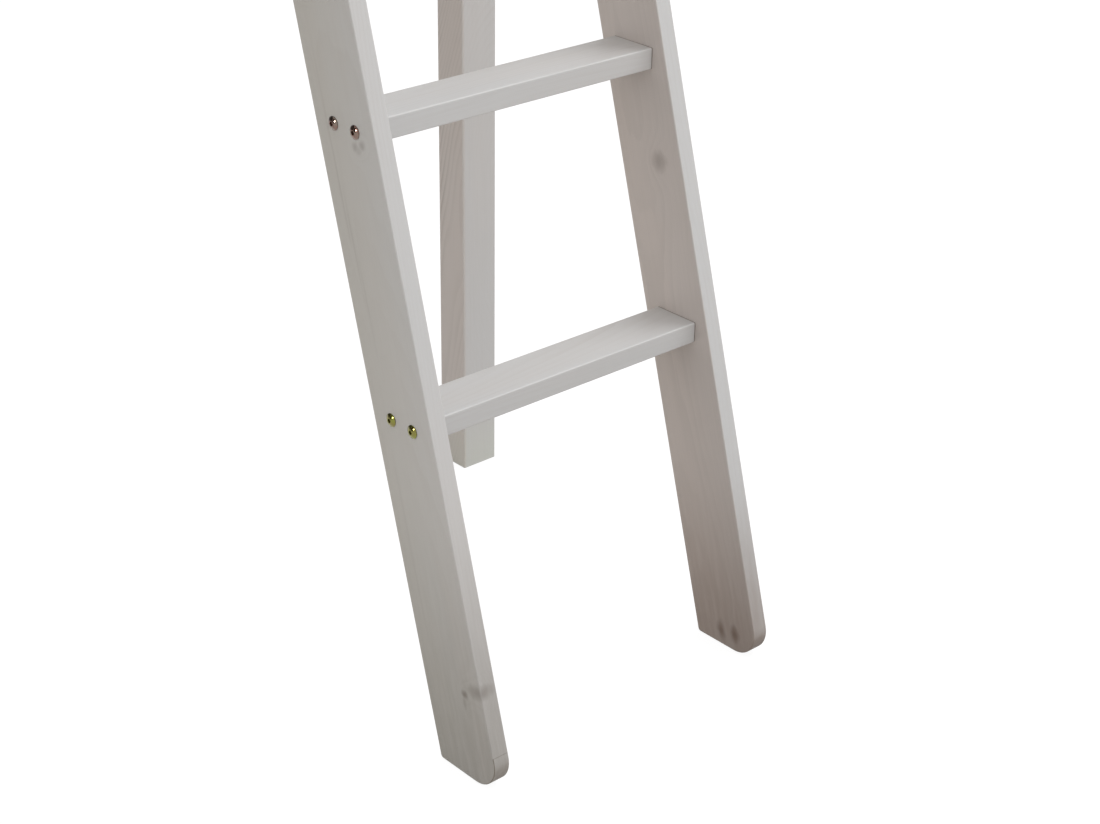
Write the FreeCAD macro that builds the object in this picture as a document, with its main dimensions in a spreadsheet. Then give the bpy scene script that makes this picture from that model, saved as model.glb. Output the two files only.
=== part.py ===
# Loft bed in white-glazed pine for one mattress, with a slanted ladder hung on its foot end.
# Millimetres. X runs across the bed, Y from the ladder end to the head end, Z up.
# The origin is on the floor, in the middle of the box round the whole part.
import FreeCAD
import Part
import math
import operator
import os
from collections import namedtuple
from types import SimpleNamespace

import Sketcher

SIZES = {
    # Mattress bay
    "mattress_width": 900,
    "mattress_length": 2000,
    "mattress_room": 10,
    # Posts
    "post_side": 49,
    "post_depth": 45,
    "post_height": 1925,
    "post_top_room": 10,
    "post_round": 1.5,
    # Rails that carry the bed base
    "rail_thickness": 22,
    "rail_height": 140,
    "board_round": 1.5,
    # Guard boards above the rails
    "guard_thickness": 18,
    "guard_height": 90,
    "guard_gap": 65,
    # Low stretchers on the wall side and the head end
    "stretcher_height": 90,
    "stretcher_bottom": 300,
    # Slatted base
    "ledger_thickness": 30,
    "ledger_height": 30,
    "slat_count": 14,
    "slat_width": 70,
    "slat_thickness": 18,
    "slat_end_room": 4,
    "slat_drop": 60,
    # Upright beside the way in
    "upright_width": 70,
    "upright_thickness": 22,
    "upright_room": 25,
    "upright_bolt_side_edge": 20,
    "upright_bolt_end_edge": 25,
    # Ladder
    "stile_width": 87,
    "stile_thickness": 19,
    "stile_past_rail": 85,
    "lean_angle": 15.7,
    "foot_round": 28,
    "stile_corner_round": 4,
    "stile_round": 1.2,
    "rung_length": 341,
    "rung_depth": 55,
    "rung_thickness": 22,
    "rung_first_top": 358,
    "rung_rise": 272,
    "rung_top_room": 100,
    "rung_inset": 16,
    "rung_round": 1.5,
    "rung_bolt_front": 11,
    "rung_bolt_spacing": 32,
    "ladder_post_room": 25,
    "ladder_rail_room": 1.5,
    # Steel hooks that hang the ladder on the end rail
    "hook_thickness": 3,
    "hook_width": 40,
    "hook_drop": 95,
    "hook_arm": 22,
    "hook_jaw_width": 16,
    "hook_jaw_drop": 35,
    "hook_rest_room": 0.3,
    "hook_back_room": 1,
    "hook_round": 6,
    "hook_screw_first": 18,
    "hook_screw_spacing": 30,
    "hook_screw_count": 3,
    # Bolts, barrel nuts and dowels of the joints
    "bolt_diameter": 6,
    "bolt_play": 0.25,
    "bolt_head_diameter": 13.5,
    "bolt_head_height": 3.2,
    "bolt_rim": 0.7,
    "bolt_past_nut": 8,
    "bolt_end_room": 2,
    "socket_flats": 4,
    "socket_depth": 2.2,
    "nut_diameter": 10,
    "nut_length": 14,
    "nut_play": 0.1,
    "nut_setback": 30,
    "nut_slot_width": 1.2,
    "nut_slot_depth": 1.5,
    "dowel_diameter": 8,
    "dowel_length": 36,
    "dowel_play": 0.1,
    "dowel_end_room": 1,
    "dowel_chamfer": 1,
    "side_rail_bolt_edge": 30,
    "end_rail_bolt_edge": 50,
    "board_bolt_edge": 30,
    "board_dowel_edge": 30,
    "end_board_dowel_edge": 18,
    # Sleeve nuts behind the upright
    "sleeve_diameter": 8,
    "sleeve_length": 12,
    "sleeve_head_diameter": 13.5,
    "sleeve_head_height": 1.5,
    # Wood screws
    "screw_diameter": 4,
    "screw_play": 0.1,
    "screw_head_diameter": 8,
    "screw_head_height": 2.4,
    "screw_head_rim": 0.6,
    "screw_point": 5,
    "screw_end_room": 1,
    "slat_screw_length": 38,
    "ledger_screw_length": 45,
    "hook_screw_length": 16,
}

DOC = FreeCAD.newDocument("loft_bed")
OPERATORS = {"+": operator.add, "-": operator.sub, "*": operator.mul, "/": operator.truediv}
UP = FreeCAD.Vector(0, 0, 1)
X_AXIS = FreeCAD.Vector(1, 0, 0)
Y_AXIS = FreeCAD.Vector(0, 1, 0)


# Sizes that follow the sheet


class Size:
    """A size with its value now and its expression over the cells of the sheet."""

    def __init__(self, value, text):
        self.value = value
        self.text = text

    def __add__(self, other):
        return combined(self, "+", other)

    def __sub__(self, other):
        return combined(self, "-", other)

    def __mul__(self, other):
        return combined(self, "*", other)

    def __truediv__(self, other):
        return combined(self, "/", other)

    def __neg__(self):
        return Size(-self.value, f"-({self.text})")


def as_size(number):
    return number if isinstance(number, Size) else Size(number, str(number))


def combined(first, sign, second):
    second = as_size(second)
    return Size(OPERATORS[sign](first.value, second.value), f"({first.text} {sign} {second.text})")


def angle_ratio(name, angle):
    """The sine, cosine or tangent of an angle in degrees."""
    return Size(getattr(math, name)(math.radians(angle.value)), f"{name}({angle.text} * 1deg)")


def fill_sheet(values):
    """Writes the driving sizes into the sheet and gives them back by name."""
    sheet = DOC.addObject("Spreadsheet::Sheet", "sizes")
    for row, (alias, value) in enumerate(values.items(), 1):
        sheet.set(f"A{row}", alias)
        sheet.set(f"B{row}", str(value))
        sheet.setAlias(f"B{row}", alias)
    DOC.recompute()
    return SimpleNamespace(**{alias: Size(float(sheet.get(alias)), f"sizes.{alias}") for alias in values})


DIM = fill_sheet(SIZES)
ZERO = as_size(0)

# Places worked out from the sizes

LEAN_SIN = angle_ratio("sin", DIM.lean_angle)
LEAN_COS = angle_ratio("cos", DIM.lean_angle)
LEAN_TAN = angle_ratio("tan", DIM.lean_angle)

BAY_WIDTH = DIM.mattress_width + DIM.mattress_room * 2
BAY_LENGTH = DIM.mattress_length + DIM.mattress_room * 2
FRAME_LENGTH = BAY_LENGTH + DIM.rail_thickness * 2
POST_INNER_X = BAY_WIDTH / 2
POST_OUTER_X = POST_INNER_X + DIM.post_side

# The upper guard lies a little under the tops of the posts, and the rail under the guards
GUARD_PITCH = DIM.guard_gap + DIM.guard_height
GUARD_TOP = DIM.post_height - DIM.post_top_room
RAIL_TOP = GUARD_TOP - GUARD_PITCH * 2
RAIL_BOTTOM = RAIL_TOP - DIM.rail_height
GUARD_BOTTOMS = {
    "lower": RAIL_TOP + DIM.guard_gap,
    "upper": GUARD_TOP - DIM.guard_height,
}

# The stile's front line meets the floor ahead of the frame, and its rounded toe lies a little behind that
STILE_SPAN = DIM.stile_width / LEAN_COS
FOOT_TO_FRAME = RAIL_TOP * LEAN_TAN + STILE_SPAN + DIM.ladder_rail_room
TOE_SETBACK = DIM.foot_round * ((LEAN_SIN + 1) / LEAN_COS - 1)
WHOLE_LENGTH = FRAME_LENGTH + FOOT_TO_FRAME - TOE_SETBACK + DIM.bolt_head_height
FRAME_REAR = WHOLE_LENGTH / 2 - DIM.bolt_head_height
FRAME_FRONT = FRAME_REAR - FRAME_LENGTH
FOOT_LINE = FRAME_FRONT - FOOT_TO_FRAME

SIDE_LENGTH = FRAME_LENGTH - DIM.post_depth * 2

LADDER_RIGHT = POST_INNER_X - DIM.ladder_post_room
RUNG_RIGHT = LADDER_RIGHT - DIM.stile_thickness
RUNG_LEFT = RUNG_RIGHT - DIM.rung_length
LADDER_LEFT = RUNG_LEFT - DIM.stile_thickness
UPRIGHT_RIGHT = LADDER_LEFT - DIM.upright_room
FRONT_GUARD_LENGTH = UPRIGHT_RIGHT + POST_INNER_X

SLAT_BOTTOM = RAIL_TOP - DIM.slat_drop - DIM.slat_thickness
LEDGER_BOTTOM = SLAT_BOTTOM - DIM.ledger_height
LEDGER_INNER_X = POST_INNER_X - DIM.ledger_thickness
SLAT_PITCH = (BAY_LENGTH + DIM.slat_width) / (DIM.slat_count + 1)
SLAT_COUNT = round(DIM.slat_count.value)
RUNG_RANGE = RAIL_TOP - DIM.rung_top_room - DIM.rung_first_top
RUNG_COUNT = math.floor((RUNG_RANGE / DIM.rung_rise).value) + 1
HOOK_SCREW_COUNT = round(DIM.hook_screw_count.value)
LEDGER_SCREW_STEP = 3

BOLT_RADIUS = DIM.bolt_diameter / 2
BOLT_HOLE = BOLT_RADIUS + DIM.bolt_play
BOLT_HOLE_DEPTH = DIM.nut_setback + DIM.bolt_past_nut + DIM.bolt_end_room
NUT_HOLE = DIM.nut_diameter / 2 + DIM.nut_play
DOWEL_HOLE = DIM.dowel_diameter / 2 + DIM.dowel_play
DOWEL_HOLE_DEPTH = DIM.dowel_length / 2 + DIM.dowel_end_room
SLEEVE_HOLE = DIM.sleeve_diameter / 2 + DIM.bolt_play
SCREW_HOLE = DIM.screw_diameter / 2 + DIM.screw_play
COUNTERSINK_DEGREES = 90


# Sketches and features


def bind(item, name, size):
    item.setExpression(name, size.text)


def new_body(name):
    body = DOC.addObject("PartDesign::Body", name)
    body.Label = name
    return body


def feature(body, kind):
    return body.newObject(f"PartDesign::{kind}", f"{body.Name}_{kind.lower()}")


def origin_plane(body, role):
    return next(item for item in body.Origin.OriginFeatures if item.Role == role)


def new_sketch(body, role, offset):
    """A sketch on one of the body's origin planes, moved along its normal by offset."""
    sketch = body.newObject("Sketcher::SketchObject", f"{body.Name}_sketch")
    sketch.AttachmentSupport = [(origin_plane(body, role), "")]
    sketch.MapMode = "FlatFace"
    bind(sketch, "AttachmentOffset.Base.z", offset)
    return sketch


def dimension(sketch, kind, ends, size):
    index = sketch.addConstraint(Sketcher.Constraint(kind, *ends, size.value))
    bind(sketch, f"Constraints[{index}]", size)


def pin_point(sketch, item, end, spot):
    """Holds one point of the sketch at its distances from the sketch's origin."""
    dimension(sketch, "DistanceX", (-1, 1, item, end), spot[0])
    dimension(sketch, "DistanceY", (-1, 1, item, end), spot[1])


def flat_point(spot):
    return FreeCAD.Vector(spot[0].value, spot[1].value, 0)


def outline(sketch, spots):
    """A closed outline of straight lines through spots."""
    count = len(spots)
    for index in range(count):
        start = flat_point(spots[index])
        end = flat_point(spots[(index + 1) % count])
        sketch.addGeometry(Part.LineSegment(start, end))
    for index in range(count):
        sketch.addConstraint(Sketcher.Constraint("Coincident", index, 2, (index + 1) % count, 1))
        pin_point(sketch, index, 1, spots[index])


def circles(sketch, spots, radius):
    for index, spot in enumerate(spots):
        sketch.addGeometry(Part.Circle(flat_point(spot), UP, radius.value))
        pin_point(sketch, index, 3, spot)
        dimension(sketch, "Radius", (index,), radius)


def pad(body, spots, thickness):
    """The outline through spots in the XY plane, raised along Z."""
    sketch = new_sketch(body, "XY_Plane", ZERO)
    outline(sketch, spots)
    made = feature(body, "Pad")
    made.Profile = sketch
    bind(made, "Length", thickness)
    DOC.recompute()
    return made


def drill(body, role, offset, spots, radius, depth=None, with_normal=False):
    """Round holes from an origin plane moved by offset, blind to depth or right through."""
    sketch = new_sketch(body, role, offset)
    circles(sketch, spots, radius)
    made = feature(body, "Pocket")
    made.Profile = sketch
    made.Reversed = with_normal
    if depth is None:
        made.Type = "ThroughAll"
    else:
        bind(made, "Length", depth)
    return made


def countersink(body, role, offset, spots, with_normal=False):
    """Through holes for wood screws whose heads lie flush."""
    sketch = new_sketch(body, role, offset)
    circles(sketch, spots, SCREW_HOLE)
    DOC.recompute()
    made = feature(body, "Hole")
    made.Profile = sketch
    made.Reversed = with_normal
    made.DepthType = "ThroughAll"
    made.Threaded = False
    bind(made, "Diameter", SCREW_HOLE * 2)
    made.HoleCutType = "Countersink"
    bind(made, "HoleCutDiameter", DIM.screw_head_diameter + DIM.screw_play * 2)
    made.HoleCutCountersinkAngle = COUNTERSINK_DEGREES
    return made


def mirror(body, features):
    """Repeats features at the other end of a plank that lies about its own middle."""
    made = feature(body, "Mirrored")
    made.Originals = features
    made.MirrorPlane = (origin_plane(body, "YZ_Plane"), [""])
    body.Tip = made


def edge_names(shape, wanted):
    return [f"Edge{index}" for index, edge in enumerate(shape.Edges, 1) if wanted(edge)]


def fillet(body, base, wanted, radius):
    """Rounds the edges of a feature that the test picks out."""
    made = feature(body, "Fillet")
    made.Base = (base, edge_names(base.Shape, wanted))
    bind(made, "Radius", radius)
    DOC.recompute()
    return made


def runs_along(axis):
    """A test for edges parallel to an axis."""

    def wanted(edge):
        return edge.tangentAt(edge.FirstParameter).cross(axis).Length < edge.Tolerance

    return wanted


def place(body, axes, spot):
    """Turns the body's own axes to the given directions and moves its origin to spot."""
    body.Placement = FreeCAD.Placement(FreeCAD.Vector(), FreeCAD.Rotation(*axes, "ZXY"))
    for letter, size in zip("xyz", spot):
        bind(body, f"Placement.Base.{letter}", size)


def plank(name, length, width, thickness, radius):
    """A plank about its middle: length along X, width up Y from zero, thickness up Z from zero."""
    body = new_body(name)
    half = length / 2
    raised = pad(body, [(-half, ZERO), (half, ZERO), (half, width), (-half, width)], thickness)
    fillet(body, raised, runs_along(X_AXIS), radius)
    return body


# Boards between the posts

OUTWARD = {"left": -X_AXIS, "right": X_AXIS, "front": -Y_AXIS, "rear": Y_AXIS}
Board = namedtuple("Board", "name side bottom height thickness bolts dowels")


def rail_board(name, side, bolt_edge):
    bolts = [bolt_edge, DIM.rail_height - bolt_edge]
    dowels = [DIM.rail_height / 2]
    return Board(name, side, RAIL_BOTTOM, DIM.rail_height, DIM.rail_thickness, bolts, dowels)


def light_board(name, side, bottom, height, thickness):
    """A guard or stretcher: one bolt and one dowel, at other heights on the ends so that they clear."""
    bolts = [DIM.board_bolt_edge]
    dowels = [height - DIM.board_dowel_edge]
    if side in ("front", "rear"):
        bolts = [height / 2]
        dowels = [height - DIM.end_board_dowel_edge]
    return Board(name, side, bottom, height, thickness, bolts, dowels)


def all_rails():
    yield rail_board("left_side_rail", "left", DIM.side_rail_bolt_edge)
    yield rail_board("right_side_rail", "right", DIM.side_rail_bolt_edge)
    yield rail_board("front_end_rail", "front", DIM.end_rail_bolt_edge)
    yield rail_board("rear_end_rail", "rear", DIM.end_rail_bolt_edge)


def all_guards():
    for side in OUTWARD:
        for level, bottom in GUARD_BOTTOMS.items():
            name = f"{side}_{level}_guard"
            yield light_board(name, side, bottom, DIM.guard_height, DIM.guard_thickness)


def all_stretchers():
    for side in ("left", "rear"):
        name = f"{side}_stretcher"
        yield light_board(name, side, DIM.stretcher_bottom, DIM.stretcher_height, DIM.rail_thickness)


RAILS = list(all_rails())
GUARDS = list(all_guards())
STRETCHERS = list(all_stretchers())
BOARDS = RAILS + GUARDS + STRETCHERS


def is_front_guard(board):
    return board.side == "front" and board in GUARDS


def board_length(board):
    if is_front_guard(board):
        return FRONT_GUARD_LENGTH
    return SIDE_LENGTH if board.side in ("left", "right") else BAY_WIDTH


def board_middle(board):
    """The middle of the board's inner face, at its bottom edge."""
    if board.side == "left":
        return -POST_INNER_X, (FRAME_FRONT + FRAME_REAR) / 2, board.bottom
    if board.side == "right":
        return POST_INNER_X, (FRAME_FRONT + FRAME_REAR) / 2, board.bottom
    if board.side == "rear":
        return ZERO, FRAME_REAR - board.thickness, board.bottom
    middle = (UPRIGHT_RIGHT - POST_INNER_X) / 2 if is_front_guard(board) else ZERO
    return middle, FRAME_FRONT + board.thickness, board.bottom


def end_holes(body, length, thickness, bolts, dowels):
    """Bolt, barrel nut and dowel holes at the end of a plank that lies at minus X."""
    end = -(length / 2)
    middle = thickness / 2
    bolt_spots = [(height, middle) for height in bolts]
    nut_spots = [(end + DIM.nut_setback, height) for height in bolts]
    nut_depth = middle + DIM.nut_length / 2
    holes = [
        drill(body, "YZ_Plane", end, bolt_spots, BOLT_HOLE, BOLT_HOLE_DEPTH, True),
        drill(body, "XY_Plane", ZERO, nut_spots, NUT_HOLE, nut_depth, True),
    ]
    if dowels:
        dowel_spots = [(height, middle) for height in dowels]
        holes.append(drill(body, "YZ_Plane", end, dowel_spots, DOWEL_HOLE, DOWEL_HOLE_DEPTH, True))
    return holes


def make_board(board):
    length = board_length(board)
    body = plank(board.name, length, board.height, board.thickness, DIM.board_round)
    holes = end_holes(body, length, board.thickness, board.bolts, board.dowels)
    if not is_front_guard(board):
        mirror(body, holes)
    if board.side == "front":
        drill(body, "XY_Plane", ZERO, upright_spots_on(board), SLEEVE_HOLE, None, True)
    if board in RAILS and board.side in ("left", "right"):
        depth = DIM.ledger_screw_length - DIM.ledger_thickness + DIM.screw_end_room
        drill(body, "XY_Plane", ZERO, ledger_screws_on_rail(), SCREW_HOLE, depth, True)
    outward = OUTWARD[board.side]
    place(body, (UP.cross(outward), UP, outward), board_middle(board))


# Posts


def make_post(side, end):
    """A post whose own X runs up and whose own Y runs outward from its inner face."""
    name = f"{end}_{side}_post"
    body = new_body(name)
    high, wide = DIM.post_height, DIM.post_side
    raised = pad(body, [(ZERO, ZERO), (high, ZERO), (high, wide), (ZERO, wide)], DIM.post_depth)
    fillet(body, raised, runs_along(X_AXIS), DIM.post_round)
    outward = OUTWARD[side]
    # The post's own Z runs along the row's Y on the right and against it on the left
    outer_first = (side == "right") == (end == "front")
    for board in BOARDS:
        if board.side == side:
            side_board_holes(body, board, outer_first)
        if board.side == end and not (is_front_guard(board) and side == "right"):
            end_board_holes(body, board, outer_first)
    x = POST_INNER_X if side == "right" else -POST_INNER_X
    outer_y = FRAME_FRONT if end == "front" else FRAME_REAR
    inward_y = DIM.post_depth if end == "front" else -DIM.post_depth
    y = outer_y if outer_first else outer_y + inward_y
    place(body, (UP, outward, UP.cross(outward)), (x, y, ZERO))


def side_board_holes(body, board, outer_first):
    """Holes that run along the bed, for the boards of its long sides."""
    middle = board.thickness / 2
    bolts = [(board.bottom + height, middle) for height in board.bolts]
    drill(body, "XY_Plane", ZERO, bolts, BOLT_HOLE, None, True)
    dowels = [(board.bottom + height, middle) for height in board.dowels]
    face = DIM.post_depth if outer_first else ZERO
    drill(body, "XY_Plane", face, dowels, DOWEL_HOLE, DOWEL_HOLE_DEPTH, not outer_first)


def end_board_holes(body, board, outer_first):
    """Holes that run across the bed, for the boards of its ends."""
    middle = board.thickness / 2 if outer_first else DIM.post_depth - board.thickness / 2
    bolts = [(board.bottom + height, middle) for height in board.bolts]
    drill(body, "XZ_Plane", ZERO, bolts, BOLT_HOLE)
    dowels = [(board.bottom + height, middle) for height in board.dowels]
    drill(body, "XZ_Plane", ZERO, dowels, DOWEL_HOLE, DOWEL_HOLE_DEPTH)


# Slatted base


def slat_middle(index):
    return FRAME_FRONT + DIM.rail_thickness + SLAT_PITCH * (index + 1) - DIM.slat_width / 2


def slat_screw_x():
    return POST_INNER_X - DIM.ledger_thickness / 2


def ledger_screw_places():
    """Places along the bed, halfway between two slats."""
    return [slat_middle(index) + SLAT_PITCH / 2 for index in range(0, SLAT_COUNT - 1, LEDGER_SCREW_STEP)]


def along_side(y):
    """A place along the bed, measured from the middle of its long sides."""
    return y - (FRAME_FRONT + FRAME_REAR) / 2


def ledger_screws_on_rail():
    height = LEDGER_BOTTOM + DIM.ledger_height / 2 - RAIL_BOTTOM
    return [(along_side(y), height) for y in ledger_screw_places()]


def make_ledger(side):
    """A batten along the inside of a side rail, with its screws between the slats."""
    body = plank(f"{side}_slat_ledger", SIDE_LENGTH, DIM.ledger_height, DIM.ledger_thickness, DIM.board_round)
    sign = 1 if side == "right" else -1
    slat_spots = [(along_side(slat_middle(i)) * sign, DIM.ledger_thickness / 2) for i in range(SLAT_COUNT)]
    depth = DIM.slat_screw_length - DIM.slat_thickness + DIM.screw_end_room
    drill(body, "XZ_Plane", -DIM.ledger_height, slat_spots, SCREW_HOLE, depth, True)
    rail_spots = [(along_side(y) * sign, DIM.ledger_height / 2) for y in ledger_screw_places()]
    countersink(body, "XY_Plane", ZERO, rail_spots, True)
    outward = OUTWARD[side]
    x = LEDGER_INNER_X * sign
    place(body, (UP.cross(outward), UP, outward), (x, (FRAME_FRONT + FRAME_REAR) / 2, LEDGER_BOTTOM))


def make_slat(index):
    length = BAY_WIDTH - DIM.slat_end_room * 2
    body = plank(f"slat_{index + 1:02d}", length, DIM.slat_width, DIM.slat_thickness, DIM.board_round)
    spots = [(slat_screw_x() * sign, DIM.slat_width / 2) for sign in (-1, 1)]
    countersink(body, "XY_Plane", DIM.slat_thickness, spots)
    y = slat_middle(index) - DIM.slat_width / 2
    place(body, (X_AXIS, Y_AXIS, UP), (ZERO, y, SLAT_BOTTOM))


# Upright beside the way in

FRONT_BOARDS = [board for board in BOARDS if board.side == "front"]


def upright_spots(board):
    """Two bolts across a board that the upright crosses: from the upright's right edge, and above the board."""
    near, far = DIM.upright_bolt_side_edge, DIM.upright_width - DIM.upright_bolt_side_edge
    low, high = DIM.upright_bolt_end_edge, board.height - DIM.upright_bolt_end_edge
    return [(near, low), (far, high)]


def upright_spots_on(board):
    middle = board_middle(board)[0]
    return [(UPRIGHT_RIGHT - across - middle, height) for across, height in upright_spots(board)]


def make_upright():
    """An upright board on the outside of the end boards, with its own X up and its own Y to the left."""
    body = new_body("entry_upright")
    high, wide = GUARD_TOP - RAIL_BOTTOM, DIM.upright_width
    raised = pad(body, [(ZERO, ZERO), (high, ZERO), (high, wide), (ZERO, wide)], DIM.upright_thickness)
    fillet(body, raised, runs_along(X_AXIS), DIM.board_round)
    spots = [
        (board.bottom - RAIL_BOTTOM + height, across)
        for board in FRONT_BOARDS
        for across, height in upright_spots(board)
    ]
    drill(body, "XY_Plane", ZERO, spots, SLEEVE_HOLE, None, True)
    place(body, (UP, -X_AXIS, -Y_AXIS), (UPRIGHT_RIGHT, FRAME_FRONT, RAIL_BOTTOM))


# Ladder


def rung_top(index):
    return DIM.rung_first_top + DIM.rung_rise * index


def rung_front(index):
    """How far a rung's front edge lies behind the line where the stiles' fronts meet the floor."""
    return rung_top(index) * LEAN_TAN + DIM.rung_inset


def rung_bolt_depths():
    return [DIM.rung_bolt_front, DIM.rung_bolt_front + DIM.rung_bolt_spacing]


def rung_bolt_places():
    """Each rung bolt's place behind the foot line and above the floor."""
    for index in range(RUNG_COUNT):
        for depth in rung_bolt_depths():
            yield rung_front(index) + depth, rung_top(index) - DIM.rung_thickness / 2


def hook_screw_places():
    """Each hook screw's place above the rail's top edge, on the middle line of the stile."""
    for index in range(HOOK_SCREW_COUNT):
        yield -(DIM.hook_screw_first + DIM.hook_screw_spacing * index)


def stile_middle_at(rise):
    """The middle of the stile, measured from the rail's front top edge, at a height above that edge."""
    return rise * LEAN_TAN - DIM.ladder_rail_room - STILE_SPAN / 2


def along_stile(y, z):
    """A place in the stile's own axes: up along its front edge, and back from that edge."""
    return y * LEAN_SIN + z * LEAN_COS, y * LEAN_COS - z * LEAN_SIN


def make_stile(side):
    """A stile cut level at both ends, with its toe and its opposite top corner well rounded."""
    body = new_body(f"ladder_{side}_stile")
    length = (RAIL_TOP + DIM.stile_past_rail) / LEAN_COS
    slant = DIM.stile_width * LEAN_TAN
    corners = [(ZERO, ZERO), (length, ZERO), (length + slant, DIM.stile_width), (slant, DIM.stile_width)]
    raised = pad(body, corners, DIM.stile_thickness)
    points = [flat_point(corner) for corner in corners]
    toes = fillet(body, raised, upright_edge_at(points[0], points[2]), DIM.foot_round)
    corners_done = fillet(body, toes, upright_edge_at(points[1], points[3]), DIM.stile_corner_round)
    fillet(body, corners_done, lies_flat, DIM.stile_round)
    drill(body, "XY_Plane", ZERO, [along_stile(*spot) for spot in rung_bolt_places()], BOLT_HOLE, None, True)
    screws = [
        along_stile(FOOT_TO_FRAME + stile_middle_at(rise), RAIL_TOP + rise) for rise in hook_screw_places()
    ]
    # The inner face is at zero on the left stile and at the full thickness on the right one
    inner = ZERO if side == "left" else DIM.stile_thickness
    depth = DIM.hook_screw_length - DIM.hook_thickness + DIM.screw_end_room
    drill(body, "XY_Plane", inner, screws, SCREW_HOLE, depth, side == "left")
    up_stile = FreeCAD.Vector(0, LEAN_SIN.value, LEAN_COS.value)
    x = RUNG_LEFT if side == "left" else LADDER_RIGHT
    place(body, (up_stile, X_AXIS.cross(up_stile) * -1, -X_AXIS), (x, FOOT_LINE, ZERO))


def upright_edge_at(*points):
    """A test for the edges along Z at the given corners."""

    def wanted(edge):
        if not runs_along(UP)(edge):
            return False
        foot = edge.Vertexes[0].Point
        flat = FreeCAD.Vector(foot.x, foot.y, 0)
        return any(flat.isEqual(point, edge.Tolerance) for point in points)

    return wanted


def lies_flat(edge):
    """A test for the edges round the two broad faces."""
    heights = [vertex.Point.z for vertex in edge.Vertexes]
    return max(heights) - min(heights) < edge.Tolerance


def make_rung(index):
    name = f"ladder_rung_{index + 1}"
    body = plank(name, DIM.rung_length, DIM.rung_depth, DIM.rung_thickness, DIM.rung_round)
    mirror(body, end_holes(body, DIM.rung_length, DIM.rung_thickness, rung_bolt_depths(), []))
    middle = (RUNG_LEFT + RUNG_RIGHT) / 2
    bottom = rung_top(index) - DIM.rung_thickness
    place(body, (X_AXIS, Y_AXIS, UP), (middle, FOOT_LINE + rung_front(index), bottom))


def hook_outline():
    """The hook from the side, measured from the rail's front top edge."""
    low = -DIM.hook_drop
    under = DIM.hook_rest_room
    top = under + DIM.hook_arm
    half = DIM.hook_width / LEAN_COS / 2
    jaw_in = DIM.rail_thickness + DIM.hook_back_room
    jaw_out = jaw_in + DIM.hook_jaw_width
    return [
        (stile_middle_at(low) - half, low),
        (stile_middle_at(low) + half, low),
        (stile_middle_at(under) + half, under),
        (jaw_in, under),
        (jaw_in, -DIM.hook_jaw_drop),
        (jaw_out, -DIM.hook_jaw_drop),
        (jaw_out, top),
        (stile_middle_at(top) - half, top),
    ]


def make_hook(side):
    """A flat steel hook on the inner face of a stile, seen along X."""
    body = new_body(f"ladder_{side}_hook")
    spots = hook_outline()
    raised = pad(body, spots, DIM.hook_thickness)
    # Every outer corner is rounded, and the two inner ones at the arm stay square to the rail
    outer = [flat_point(spots[index]) for index in (0, 1, 5, 6, 7)]
    fillet(body, raised, upright_edge_at(*outer), DIM.hook_round)
    screws = [(stile_middle_at(rise), rise) for rise in hook_screw_places()]
    drill(body, "XY_Plane", ZERO, screws, SCREW_HOLE, None, True)
    x = RUNG_LEFT if side == "left" else RUNG_RIGHT - DIM.hook_thickness
    place(body, (Y_AXIS, UP, X_AXIS), (x, FRAME_FRONT, RAIL_TOP))


# Fasteners


def vector(*sizes):
    return FreeCAD.Vector(*(as_size(size).value for size in sizes))


def turned(points):
    """A solid turned about Z from a profile of (radius, height) points; a middle point in a triple is an arc's."""
    edges = []
    for start, *middle, end in points:
        ends = [FreeCAD.Vector(radius, 0, height) for radius, height in (start, *middle, end)]
        curve = Part.Arc(*ends) if middle else Part.LineSegment(*ends)
        edges.append(curve.toShape())
    face = Part.Face(Part.Wire(edges))
    return face.revolve(FreeCAD.Vector(), UP, 360)


def domed_screw(head_diameter, head_height, rim, shank_diameter, length):
    """A screw along Z with its head's flat at zero, its dome below and its shank above."""
    head, shank = head_diameter.value / 2, shank_diameter.value / 2
    dome = head_height.value - rim.value
    sphere = (head**2 + dome**2) / (2 * dome)
    half_turn = math.asin(head / sphere) / 2
    crown = (0, -head_height.value)
    shoulder = (sphere * math.sin(half_turn), -head_height.value + sphere * (1 - math.cos(half_turn)))
    edge = (head, -rim.value)
    loop = [edge, (head, 0), (shank, 0), (shank, length.value), (0, length.value), crown]
    return turned([(crown, shoulder, edge), *zip(loop, loop[1:])])


def bolt(length):
    """A furniture bolt with a domed head and a hexagon socket."""
    body = domed_screw(DIM.bolt_head_diameter, DIM.bolt_head_height, DIM.bolt_rim, DIM.bolt_diameter, length)
    reach = DIM.socket_flats.value / math.sqrt(3)
    bottom = DIM.socket_depth.value - DIM.bolt_head_height.value
    corners = [
        FreeCAD.Vector(reach * math.cos(math.radians(60 * step)), reach * math.sin(math.radians(60 * step)), bottom)
        for step in range(7)
    ]
    depth = FreeCAD.Vector(0, 0, -DIM.bolt_head_height.value)
    return body.cut(Part.Face(Part.makePolygon(corners)).extrude(depth))


def wood_screw(length):
    """A countersunk wood screw whose head's face is at zero and whose point is above."""
    head, shank = DIM.screw_head_diameter.value / 2, DIM.screw_diameter.value / 2
    neck = length.value - DIM.screw_point.value
    loop = [(0, 0), (head, 0), (shank, head - shank), (shank, neck), (0, length.value), (0, 0)]
    return turned(zip(loop, loop[1:]))


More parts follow.
